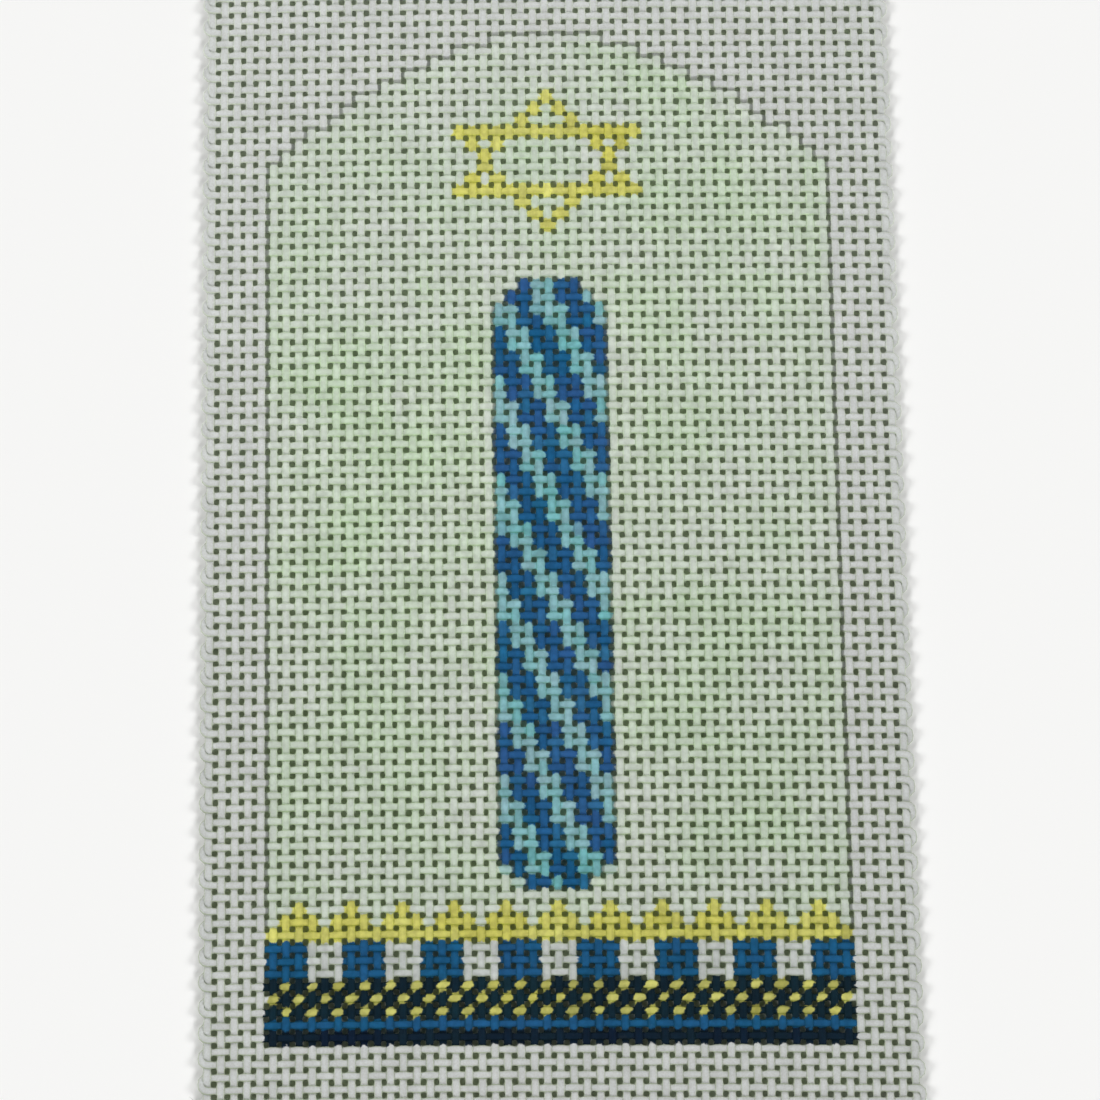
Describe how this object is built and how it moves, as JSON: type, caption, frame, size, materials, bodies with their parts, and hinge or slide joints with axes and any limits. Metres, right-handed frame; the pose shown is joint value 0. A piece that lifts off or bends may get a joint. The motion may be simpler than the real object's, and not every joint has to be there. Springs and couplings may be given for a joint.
{
  "type": "painted needlepoint canvas",
  "caption": "Open-mesh cotton needlepoint canvas, painted with a striped candle under a star in an arched panel above a banded border.",
  "frame": {"origin": "under the middle of the canvas, on the surface that it lies on", "axes": "+X across the picture to its right, +Y towards the picture's top, +Z out of its painted face"},
  "size_m": [0.0784, 0.1284, 0.0012],
  "materials": {
    "bare_cotton": "white sized cotton yarn, unpainted",
    "pale_green_paint": "cotton yarn under a thin pale green wash of matt paint",
    "striped_blue_paint": "cotton yarn painted in slanting stripes of blue and aqua, matt"
  },
  "bodies": {
    "root": {"warp_01": "bare_cotton", "warp_02": "bare_cotton", "warp_03": "bare_cotton", "warp_04": "bare_cotton", "warp_05": "bare_cotton", "warp_06": "pale_green_paint", "warp_07": "pale_green_paint", "warp_08": "pale_green_paint", "warp_09": "pale_green_paint", "warp_10": "pale_green_paint", "warp_11": "pale_green_paint", "warp_12": "pale_green_paint", "warp_13": "pale_green_paint", "warp_14": "pale_green_paint", "warp_15": "pale_green_paint", "warp_16": "pale_green_paint", "warp_17": "pale_green_paint", "warp_18": "pale_green_paint", "warp_19": "pale_green_paint", "warp_20": "pale_green_paint", "warp_21": "pale_green_paint", "warp_22": "pale_green_paint", "warp_23": "pale_green_paint", "warp_24": "striped_blue_paint", "warp_25": "striped_blue_paint", "warp_26": "striped_blue_paint", "warp_27": "striped_blue_paint", "warp_28": "striped_blue_paint", "warp_29": "striped_blue_paint", "warp_30": "striped_blue_paint", "warp_31": "striped_blue_paint", "warp_32": "striped_blue_paint", "warp_33": "pale_green_paint", "warp_34": "pale_green_paint", "warp_35": "pale_green_paint", "warp_36": "pale_green_paint", "warp_37": "pale_green_paint", "warp_38": "pale_green_paint", "warp_39": "pale_green_paint", "warp_40": "pale_green_paint", "warp_41": "pale_green_paint", "warp_42": "pale_green_paint", "warp_43": "pale_green_paint", "warp_44": "pale_green_paint", "warp_45": "pale_green_paint", "warp_46": "pale_green_paint", "warp_47": "pale_green_paint", "warp_48": "pale_green_paint", "warp_49": "pale_green_paint", "warp_50": "pale_green_paint", "warp_51": "bare_cotton", "warp_52": "bare_cotton", "warp_53": "bare_cotton", "warp_54": "bare_cotton", "warp_55": "bare_cotton", "weft": "bare_cotton"}
  },
  "joints": []
}
